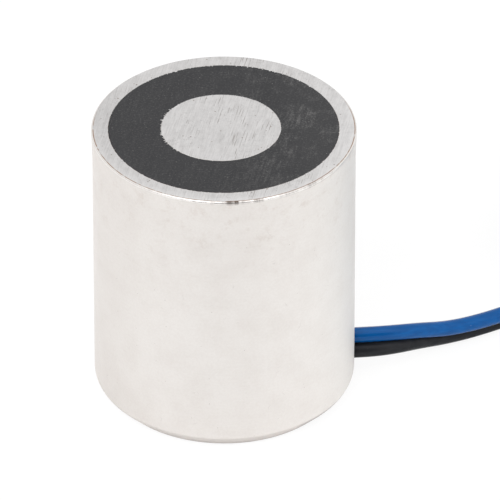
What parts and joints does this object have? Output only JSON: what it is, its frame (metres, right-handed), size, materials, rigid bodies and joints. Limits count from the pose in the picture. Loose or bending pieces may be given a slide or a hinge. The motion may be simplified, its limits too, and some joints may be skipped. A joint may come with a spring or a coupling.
{
  "type": "electro-permanent holding magnet",
  "caption": "Round potted holding magnet: a plated steel cup with centre pole and resin ring, a tapped hole in the back and a pair of leads leaving low at the side.",
  "frame": {"origin": "centre of the back face, on the cup's axis", "axes": "+Z along the cup's axis, out of the holding face; +X the way the leads leave"},
  "size_m": [0.0551, 0.0364, 0.023],
  "materials": {
    "nickel_plate": "satin nickel plate, ground rim",
    "ground_steel": "ground steel",
    "magnet_plate": "nickel-plated sintered magnet",
    "spool_nylon": "moulded nylon",
    "enamelled_copper": "enamelled copper wire",
    "winding_film": "polyester film tape",
    "black_resin": "ground casting resin",
    "blue_lead": "blue lead insulation",
    "black_lead": "black lead insulation",
    "sleeve_black": "shrink sleeve",
    "solder": "solder",
    "tinned_strand": "tinned copper strands",
    "tie_black": "coated twist tie"
  },
  "bodies": {
    "root": {"housing_cup": "nickel_plate", "permanent_magnet": "magnet_plate", "centre_pole": "ground_steel", "coil_bobbin": "spool_nylon", "copper_winding": "enamelled_copper", "winding_tape": "winding_film", "potting_resin": "black_resin", "blue_lead_inner": "blue_lead", "blue_splice_joint": "solder", "blue_splice_sleeve": "sleeve_black", "blue_lead_run": "blue_lead", "blue_lead_coil": "blue_lead", "blue_lead_tail": "blue_lead", "blue_lead_tip": "tinned_strand", "black_lead_inner": "black_lead", "black_splice_joint": "solder", "black_splice_sleeve": "sleeve_black", "black_lead_run": "black_lead", "black_lead_coil": "black_lead", "black_lead_tail": "black_lead", "black_lead_tip": "tinned_strand", "lead_tie": "tie_black"}
  },
  "joints": []
}
